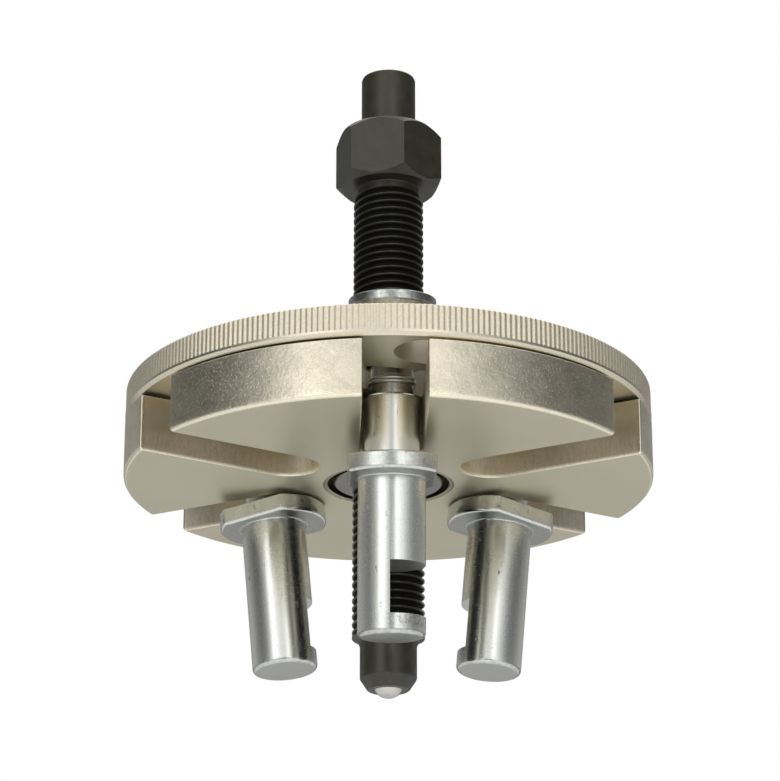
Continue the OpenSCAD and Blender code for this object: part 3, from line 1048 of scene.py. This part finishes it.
@dataclass
class ScrollDisc:
    """The upper disc with its knurled rim and three spiral slots."""

    radius: float = 65.0
    low: float = 14.8
    band: float = 16.2
    high: float = 22.5
    bore: float = 11.95
    edge: float = 0.25
    foot_edge: float = 0.8
    teeth: int = 300
    tooth_steps: int = 8
    crest: float = 64.92
    depth: float = 0.24
    lead: float = 60.6
    spirals: int = 3
    first_spiral: float = 30
    slot_half: float = 7.5
    inner: float = 28.5
    outer: float = 54.4
    spiral_steps: int = 72
    end_steps: int = 14
    bore_steps: int = 96
    foot_steps: int = 180

    def build(self) -> None:
        """Builds the disc from its closed lines, from below."""
        work = Workpiece()
        starts = [self.first_spiral + 360 / self.spirals * k for k in range(self.spirals)]
        holes = [work.loop(self._spiral(start), self.low) for start in starts]
        holes.append(work.loop(circle(self.bore, self.bore_steps), self.low))
        foot = work.loop(circle(self.radius - self.foot_edge, self.foot_steps), self.low)
        work.cap(foot, *holes)
        band = work.raise_wall(foot, self.foot_edge, self.radius / (self.radius - self.foot_edge))
        band = work.raise_wall(band, self.band - self.low - self.foot_edge)
        knurl = work.loop(self._knurl(), self.band)
        work.cap(band, knurl)
        knurl = work.raise_wall(knurl, self.high - self.edge - self.band)
        rim = work.raise_wall(knurl, self.edge, 1 - self.edge / self.radius)
        tops = [work.raise_wall(hole, self.high - self.low) for hole in holes]
        work.cap(rim, *tops)
        close_up(work.mesh)
        work.finish("knurled_scroll_disc", "scroll", KNURLED_NICKEL, "scroll_disc")

    def _knurl(self) -> list[Point]:
        """Draws the knurled rim as seen from above, with a wave for each tooth.

        Returns:
            The points round it.
        """
        points = []
        for k in range(self.teeth * self.tooth_steps):
            wave = 0.5 - 0.5 * math.cos(FULL_TURN * k / self.tooth_steps)
            radius, angle = self.crest - self.depth * wave, FULL_TURN * k / (self.teeth * self.tooth_steps)
            points.append((radius * math.cos(angle), radius * math.sin(angle)))
        return points

    def _spiral(self, start: float) -> list[Point]:
        """Draws a spiral slot as seen from above, about the line that a hook pin follows.

        Args:
            start: The angle at which the pin stands at rest, in degrees.

        Returns:
            The points round it.
        """
        first, last = ((PIN_CIRCLE - reach) * 360 / self.lead for reach in (self.outer, self.inner))
        angles = [first + (last - first) * k / self.spiral_steps for k in range(self.spiral_steps + 1)]
        outside = [self._off_line(angle, start, -90) for angle in angles]
        inside = [self._off_line(angle, start, 90) for angle in reversed(angles)]
        turns = [180 * k / self.end_steps for k in range(1, self.end_steps)]
        ends = [[self._off_line(angle, start, way + turn) for turn in turns]
                for angle, way in ((last, -90), (first, 90))]
        return outside + ends[0] + inside + ends[1]

    def _off_line(self, angle: float, start: float, way: float) -> Point:
        """Finds a point half a slot's width from the spiral's line.

        Args:
            angle: How far along the spiral, in degrees from the pin at rest.
            start: The angle at which the pin stands at rest, in degrees.
            way: The direction from the line, in degrees from the way it runs.

        Returns:
            The point.
        """
        reach = PIN_CIRCLE - self.lead * angle / 360
        heading = math.radians(start + angle + 90 + way) + math.atan(self.lead / FULL_TURN / reach)
        place = math.radians(start + angle)
        x, y = reach * math.cos(place), reach * math.sin(place)
        return x + self.slot_half * math.cos(heading), y + self.slot_half * math.sin(heading)


@dataclass
class Plates:
    """The two plates and what holds them together."""

    guide: GuidePlate = field(default_factory=GuidePlate)
    scroll: ScrollDisc = field(default_factory=ScrollDisc)

    def build(self) -> None:
        """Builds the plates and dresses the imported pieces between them."""
        self.guide.build()
        self.scroll.build()
        dress("centre_bush", BUSH_STEEL)
        dress("thrust_washer", SPRING_STEEL)
        dress("bush_circlip", SPRING_STEEL)


@dataclass
class Spindle:
    """The forcing spindle: boss, hexagon, threaded rod and nose, with the centring ball.

    The edges of the boss, the nose and its face are given by their points' distances from the corner.
    """

    crest: float = 8.85
    root: float = 7.72
    pitch: float = 2.0
    thread_low: float = -38.9
    thread_high: float = 77.0
    thread_start: float = 0.3
    thread_chamfer: float = 0.35
    runout: float = 1.2
    relief: float = 7.6
    undercut: float = 0.3
    sunk: float = 0.1
    hexagon_low: float = 79.0
    hexagon_high: float = 94.9
    hexagon_half: float = 12.0
    hexagon_turn: float = -14.9
    face_inset: float = 0.5
    cone: float = 1.6
    boss: float = 6.9
    boss_foot: float = 1.0
    boss_high: float = 110.5
    boss_edge: Outline = ((0, -0.7), (-0.2, -0.25), (-0.7, 0))
    nose: float = 6.9
    nose_low: float = -49.0
    nose_edge: Outline = ((-0.1, -0.15), (0, 0.25))
    nose_face: float = 5.2
    nose_face_low: float = -51.75
    nose_face_edge: Outline = ((-0.25, 0), (0, 0.2))
    fillet: float = 2.6
    fillet_steps: int = 8
    rounding: float = 0.22

    def build(self) -> None:
        """Builds the spindle and dresses the ball."""
        work = Workpiece()
        self._head(work)
        work.break_edges(self.rounding)
        self._boss(work)
        self._nose(work)
        low, high = self.thread_low + self.thread_start, self.thread_high - 2 * self.sunk
        work.thread(self._turn_of_thread(), self.pitch, low, high)
        work.finish("forcing_spindle", "spindle", BLACK, "spindle")
        dress("tip_ball", BALL_STEEL)

    def _head(self, work: Workpiece) -> None:
        """Turns the hexagon with coned ends and mills its six flats.

        Args:
            work: The spindle in the making.
        """
        low, high, face = self.hexagon_low, self.hexagon_high, self.hexagon_half - self.face_inset
        cone = self.cone * (self.hexagon_half / math.cos(math.radians(30)) - face)
        work.turn([
            (0, low), (face, low), (face + cone, low + cone),
            (face + cone, high - cone), (face, high), (0, high),
        ])
        for side in range(6):
            work.mill_flat(self.hexagon_half, self.hexagon_turn + 30 + 60 * side)

    def _boss(self, work: Workpiece) -> None:
        """Adds the boss above the hexagon and the relief below it.

        Args:
            work: The spindle in the making.
        """
        low, foot = self.hexagon_low, self.hexagon_high - self.boss_foot
        end = self.thread_high - self.runout
        edge = beside((self.boss, self.boss_high), *self.boss_edge)
        work.turn([(0, foot), (self.boss, foot), *edge, (0, self.boss_high)])
        work.turn([
            (0, end), (self.root - self.sunk / 2, end), (self.relief, self.thread_high - self.sunk),
            (self.relief, low - self.undercut), (self.relief + self.undercut, low + self.sunk),
            (0, low + self.sunk),
        ])

    def _nose(self, work: Workpiece) -> None:
        """Adds the nose, with its coned end and its fillet up to the thread.

        Args:
            work: The spindle in the making.
        """
        start, top = self.thread_low + self.thread_start, self.thread_low + 2 * self.thread_start
        centre = (self.nose + self.fillet, self.thread_low - self.fillet)
        widest = math.degrees(math.asin((centre[0] - self.crest) / self.fillet))
        work.turn([
            (0, self.nose_face_low),
            *beside((self.nose_face, self.nose_face_low), *self.nose_face_edge),
            *beside((self.nose, self.nose_low), *self.nose_edge),
            *arc(centre, self.fillet, 180, 90 + widest, self.fillet_steps),
            (self.crest, start), (self.crest - self.thread_chamfer, top), (0, top),
        ])

    def _turn_of_thread(self) -> list[Point]:
        """Draws one turn of the thread: rounded root, flanks and a narrow crest.

        Returns:
            Its (radius, height) points, from below.
        """
        shares = [(0.0, 0.0), (0.12, 0.0), (0.19, 0.10), (0.42, 0.88), (0.455, 1.0)]
        shares += [(1 - height, rise) for height, rise in reversed(shares)]
        depth = self.crest - self.root
        return [(self.root + rise * depth, height * self.pitch) for height, rise in shares]


@dataclass
class ScrollBush:
    """The bush that a pin hangs in: a sleeve in the spiral slot, and a hub with a coned and rimmed head."""

    bore: float = 5.9
    neck_bore: float = 5.15
    shoulder: float = 22.5
    sleeve: float = 7.1
    sleeve_low: float = 16.8
    cone_low: float = 29.1
    head: float = 10.45
    head_low: float = 31.1
    head_high: float = 33.3
    recess: float = 8.3
    recess_low: float = 31.3
    edge: float = 0.3

    def turned(self) -> Workpiece:
        """Turns the bush and rounds its edges.

        Returns:
            The bush.
        """
        work = Workpiece()
        work.turn([
            (self.bore, self.sleeve_low), (self.sleeve, self.sleeve_low), (self.sleeve, HUB_LOW),
            (HUB, HUB_LOW), (HUB, self.cone_low), (self.head, self.head_low),
            (self.head, self.head_high), (self.recess, self.head_high),
            (self.recess, self.recess_low), (self.neck_bore, self.recess_low),
            (self.neck_bore, self.shoulder), (self.bore, self.shoulder), (self.bore, self.sleeve_low),
        ])
        work.break_edges(self.edge, segments=3)
        return work


@dataclass
class HookPin:
    """One hook pin with the wire ring and the circlip on its neck, and the bush that it slides in.

    Heights start from the collar's top. The opening has the X of its wall, its floor and its ceiling, and
    the wire's path has the angle, the steps and the climb of each stretch, as a share of one turn's.
    """

    hook: Hook
    barrel: float = 8.0
    barrel_low: float = -41.9
    foot: float = 1.2
    foot_start: float = -84
    foot_steps: int = 7
    dome: float = 0.03
    collar: float = 13.3
    collar_flats: float = 20.8
    collar_low: float = -4.3
    collar_edges: Span = (0.85, 0.5)
    collar_corner: float = 1.1
    corner_steps: int = 6
    side_steps: int = 20
    edge_steps: int = 6
    fillet: float = 0.45
    fillet_end: float = 95
    fillet_steps: int = 5
    sunk: float = 0.1
    shank: float = 6.5
    shank_low: float = -0.5
    shank_high: float = 15.5
    shank_edge: Outline = ((0, -0.8), (-0.15, -0.35), (-0.65, 0))
    neck: float = 5.1
    neck_high: float = 39.15
    neck_edge: float = 0.4
    opening: Band = (-0.6, -37.2, -24.8)
    rounding: float = 0.3
    wire: float = 0.45
    wire_circle: float = 5.3
    wire_play: float = 0.05
    wire_pack: float = 0.92
    wire_path: Sequence[tuple[float, int, float]] = ((338, 68, 0), (22, 6, 1), (330, 66, 0))
    wire_groove: Span = (18.02, 19.85)
    wire_root: float = 4.8
    clip_groove: Span = (37.3, 38.4)
    clip_root: float = 4.65

    def build(self) -> None:
        """Builds the pin, its ring and its bush, and dresses the circlip."""
        label, stand, stance = self.hook.label, self.hook.stand, self.hook.stance
        work = Workpiece()
        self._barrel(work)
        work.mill_opening(*self.opening)
        work.break_edges(self.rounding)
        self._collar(work)
        self._shank(work)
        ring, bush = self._ring(), ScrollBush().turned()
        work.finish(f"turned_hook_pin_{label}", f"hook_{label}", ZINC, f"hook_pin_{label}", stand)
        ring.finish(f"wire_ring_{label}", f"grip_{label}", SPRING_STEEL, f"grip_ring_{label}", stand)
        dress(f"pin_circlip_{label}", SPRING_STEEL, stance)
        bush.finish(f"turned_scroll_bush_{label}", f"slider_{label}", ZINC, f"scroll_bush_{label}", stance)

    def _barrel(self, work: Workpiece) -> None:
        """Turns the barrel below the collar, with a slightly domed lower face.

        Args:
            work: The pin in the making.
        """
        centre = (self.barrel - self.foot, self.barrel_low + self.foot)
        foot = arc(centre, self.foot, self.foot_start, 0, self.foot_steps)
        wide, top = self.barrel + self.fillet, self.collar_low + self.sunk
        centre = (wide, self.collar_low - self.fillet)
        fillet = arc(centre, self.fillet, 180, self.fillet_end, self.fillet_steps)
        work.turn([(0, self.barrel_low - self.dome), *foot, *fillet, (wide, top), (0, top)])

    def _plan(self, inset: float) -> list[Point]:
        """Draws the collar as seen from above: a disc with two flats and soft corners.

        Args:
            inset: How far it is cut back.

        Returns:
            The points round it.
        """
        soft = self.collar_corner
        radius, half = self.collar - soft, self.collar_flats / 2 - soft
        turn = math.acos(half / radius)
        middle, bend = (half, radius * math.sin(turn)), math.degrees(turn)
        quarter = [(half + soft - inset, 0.0), *arc(middle, soft - inset, 0, bend, self.corner_steps)]
        quarter += arc((0, 0), self.collar - inset, bend, 90, self.side_steps)[1:]
        side = quarter + [(-x, y) for x, y in reversed(quarter[:-1])]
        return side + [(x, -y) for x, y in reversed(side[1:-1])]

    def _collar(self, work: Workpiece) -> None:
        """Adds the collar, with two flats square to the opening and rounded edges.

        Args:
            work: The pin in the making.
        """
        (low, high), steps = self.collar_edges, rounding(self.edge_steps)
        sections = [(self._plan(low * inset), self.collar_low + low * rise) for inset, rise in steps]
        sections += [(self._plan(high * inset), -high * rise) for inset, rise in reversed(steps)]
        work.loft(sections)

    def _shank(self, work: Workpiece) -> None:
        """Turns the shank in the radial slot and the neck above it, with its two grooves.

        Args:
            work: The pin in the making.
        """
        grooves = []
        for (low, high), root in ((self.wire_groove, self.wire_root), (self.clip_groove, self.clip_root)):
            grooves += [(self.neck, low), (root, low), (root, high), (self.neck, high)]
        work.turn([
            (0, self.shank_low), (self.shank, self.shank_low),
            *beside((self.shank, self.shank_high), *self.shank_edge),
            (self.neck, self.shank_high), *grooves, (self.neck, self.neck_high - self.neck_edge),
            (self.neck - self.neck_edge, self.neck_high), (0, self.neck_high),
        ])

    def _ring(self) -> Workpiece:
        """Bends two turns of wire with a cross-over between them and cut ends.

        Returns:
            The ring.
        """
        work = Workpiece()
        shape = work.mesh
        disc = bmesh.ops.create_circle(shape, cap_ends=True, radius=self.wire, segments=14)
        start = Matrix.Translation((self.wire_circle, 0, self.wire_groove[0] + self.wire_play + self.wire))
        upright = Matrix.Rotation(math.pi / 2, 4, "X")
        bmesh.ops.transform(shape, matrix=start @ upright, verts=disc["verts"])
        rise = 2 * self.wire * self.wire_pack
        end = shape.faces[:]
        for angle, steps, climb in self.wire_path:
            climbed = (0, 0, climb * rise / steps)
            swept = bmesh.ops.spin(
                shape, geom=end, axis=UP, dvec=climbed, angle=math.radians(angle), steps=steps
            )
            end = only(BMFace, swept["geom_last"])
        face_outwards(shape)
        return work


# Studio


@dataclass
class LightTent:
    """A round wall of paper about the puller, which only its metal sees: bright in front, dim at the sides.

    A row of stops has the glow at each direction, in degrees right of -Y. The rows cross over between two
    heights in metres, and the wall fades towards its top and its foot.
    """

    radius: float = 1.4
    high: float = 1.3
    crossing: Span = (0.24, 0.36)
    strength: float = 1.2
    top_fade: Span = (0.3, 1.0)
    top_loss: float = 0.82
    foot_fade: Span = (-0.2, 0.0)
    foot_share: float = 0.5
    low_stops: Outline = (
        (-180, 0.12), (-160, 0.26), (-138, 0.42), (-116, 0.40), (-98, 0.30), (-82, 0.22), (-66, 0.32),
        (-52, 0.62), (-39, 1.05), (-27, 1.25), (-17, 1.15), (-9, 0.28), (4, 0.28), (14, 1.15), (26, 1.20),
        (40, 0.80), (55, 0.48), (72, 0.28), (92, 0.32), (112, 0.40), (138, 0.42), (160, 0.26), (180, 0.12),
    )
    high_stops: Outline = (
        (-180, 0.10), (-160, 0.26), (-138, 0.34), (-116, 0.17), (-98, 0.06), (-82, 0.04), (-67, 0.08),
        (-52, 0.33), (-39, 0.92), (-27, 1.20), (-14, 1.12), (-2, 1.00), (12, 1.16), (26, 1.10), (40, 0.50),
        (55, 0.15), (72, 0.06), (92, 0.07), (112, 0.13), (138, 0.30), (160, 0.26), (180, 0.10),
    )

    def build(self) -> None:
        """Stands the wall up and makes it glow by its direction from the puller."""
        shape = bmesh.new()
        bmesh.ops.create_circle(shape, radius=self.radius, segments=ROUND_SIDES)
        bmesh.ops.translate(shape, vec=(0, 0, FLOOR_HEIGHT), verts=shape.verts[:])
        raised = bmesh.ops.extrude_edge_only(shape, edges=shape.edges[:])["geom"]
        bmesh.ops.translate(shape, vec=(0, 0, self.high - FLOOR_HEIGHT), verts=only(BMVert, raised))
        wall = add_object("light_tent", shape, self._paper())
        wall.visible_camera = wall.visible_diffuse = wall.visible_shadow = False

    def _paper(self) -> Material:
        """Makes the wall's glow, from the stops for its lower and its upper part.

        Returns:
            The material.
        """
        material = bpy.data.materials.new("tent_paper")
        shader = Shader(material)
        x, y, z = shader.axes(shader.node("ShaderNodeTexCoord", output="Object"))
        turn = x.angle_to(y * -1.0) * (1 / FULL_TURN) + 0.5
        low, high = (self._row(shader, turn, stops) for stops in (self.low_stops, self.high_stops))
        glow = shader.blend(z.step(*self.crossing), low, high)
        top = self.strength - self.top_loss * z.step(*self.top_fade)
        shade = top * (self.foot_share + (1 - self.foot_share) * z.step(*self.foot_fade))
        glow = shader.node("ShaderNodeVectorMath", {"operation": "SCALE"}, {0: glow, "Scale": shade})
        shader.show(shader.node("ShaderNodeEmission", {}, {"Color": glow, "Strength": 1.0}))
        return material

    @staticmethod
    def _row(shader: Shader, turn: Wire, stops: Outline) -> Wire:
        """The glow round the wall at one height."""
        ramp = [((angle + 180) / 360, (shade,) * 3) for angle, shade in stops]
        return shader.node("ShaderNodeValToRGB", {"stops": ramp}, {"Fac": turn})


@dataclass(frozen=True)
class Lamp:
    """A soft box, in metres, degrees and watts, that hangs at a distance from the place that it faces.

    The azimuth is right of -Y. A lamp that isn't mirrored lights the floor, and no metal shows it.
    """

    name: str
    azimuth: float
    elevation: float
    distance: float
    size: tuple[float, float]
    power: float
    aim: tuple[float, float, float] = (0, 0, 0.02)
    mirrored: bool = True

    def hang(self) -> None:
        """Adds the lamp to the scene."""
        light = bpy.data.lights.new(self.name, "AREA")
        light.shape = "RECTANGLE"
        light.size, light.size_y = self.size
        light.energy = self.power
        lamp = bpy.data.objects.new(self.name, light)
        turn, tilt = math.radians(self.azimuth), math.radians(self.elevation)
        away = Vector((math.sin(turn) * math.cos(tilt), -math.cos(turn) * math.cos(tilt), math.sin(tilt)))
        lamp.location = Vector(self.aim) + away * self.distance
        lamp.rotation_mode = "QUATERNION"
        lamp.rotation_quaternion = away.to_track_quat("Z", "Y")
        lamp.visible_camera, lamp.visible_glossy = False, self.mirrored
        bpy.context.scene.collection.objects.link(lamp)


@dataclass
class Studio:
    """Floor, white background, light tent, lamps and camera, in metres."""

    floor_radius: float = 2.4
    floor_shade: float = 0.88
    fill: float = 0.65
    camera_place: tuple[float, float, float] = (-0.01734, -0.68613, -0.22654)
    camera_forward: tuple[float, float, float] = (0.02425, 0.93866, 0.34401)
    camera_up: tuple[float, float, float] = (-0.00889, -0.34390, 0.93897)
    lens: float = 135.35
    sensor: float = 36.0
    sight: Span = (0.02, 20.0)
    tent: LightTent = field(default_factory=LightTent)
    lamps: tuple[Lamp, ...] = (
        Lamp("window_left", -36, 16, 1.1, (0.34, 0.7), 0.55),
        Lamp("window_right", 14, 16, 1.1, (0.22, 0.7), 0.35),
        Lamp("ceiling", 20, 80, 1.2, (1.2, 1.0), 2.0),
        Lamp("table", 0, 75, 0.75, (0.7, 0.4), 3.0, aim=(0, -0.4, FLOOR_HEIGHT), mirrored=False),
    )

    def build(self) -> None:
        """Sets the studio up."""
        self._world()
        self._floor()
        self.tent.build()
        for lamp in self.lamps:
            lamp.hang()
        self._camera()
        bpy.context.scene.view_settings.view_transform = "Standard"

    def _world(self) -> None:
        """Makes the world white to the camera, metal and glass, and a soft fill for the rest."""
        world = bpy.context.scene.world = bpy.data.worlds.new("studio")
        shader = Shader(world)
        seen = sum((shader.node("ShaderNodeLightPath", output=ray.value) for ray in Ray), 0.0)
        seen = shader.node("ShaderNodeMath", {"operation": "MINIMUM"}, {0: seen, 1: 1.0})
        sky = {"Color": (1, 1, 1, 1), "Strength": self.fill + (1 - self.fill) * seen}
        shader.show(shader.node("ShaderNodeBackground", {}, sky), "World")

    def _floor(self) -> None:
        """Lays a plain pale floor below the camera."""
        shape = bmesh.new()
        bmesh.ops.create_circle(shape, cap_ends=True, radius=self.floor_radius, segments=ROUND_SIDES)
        bmesh.ops.translate(shape, vec=(0, 0, FLOOR_HEIGHT), verts=shape.verts[:])
        material = bpy.data.materials.new("floor")
        shader = Shader(material)
        paper = {"Base Color": (self.floor_shade,) * 3 + (1,), "Roughness": 0.9, "Specular IOR Level": 0.1}
        shader.show(shader.node("ShaderNodeBsdfPrincipled", {}, paper))
        add_object("floor", shape, material)

    def _camera(self) -> None:
        """Sets the camera where the photograph was taken from."""
        lens = bpy.data.cameras.new("camera")
        lens.lens, lens.sensor_width = self.lens, self.sensor
        lens.clip_start, lens.clip_end = self.sight
        camera = bpy.data.objects.new("camera", lens)
        forward, up = Vector(self.camera_forward), Vector(self.camera_up)
        right = forward.cross(up)
        turn = Matrix((right, right.cross(forward), -forward)).transposed()
        camera.matrix_world = Matrix.Translation(self.camera_place) @ turn.to_4x4()
        bpy.context.scene.collection.objects.link(camera)
        bpy.context.scene.camera = camera


def main() -> None:
    """Builds the puller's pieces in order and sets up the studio."""
    logging.basicConfig(level=logging.INFO, format="%(name)s: %(message)s")
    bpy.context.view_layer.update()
    Plates().build()
    Spindle().build()
    for hook in HOOKS:
        HookPin(hook).build()
    Studio().build()


if __name__ == "__main__":
    main()
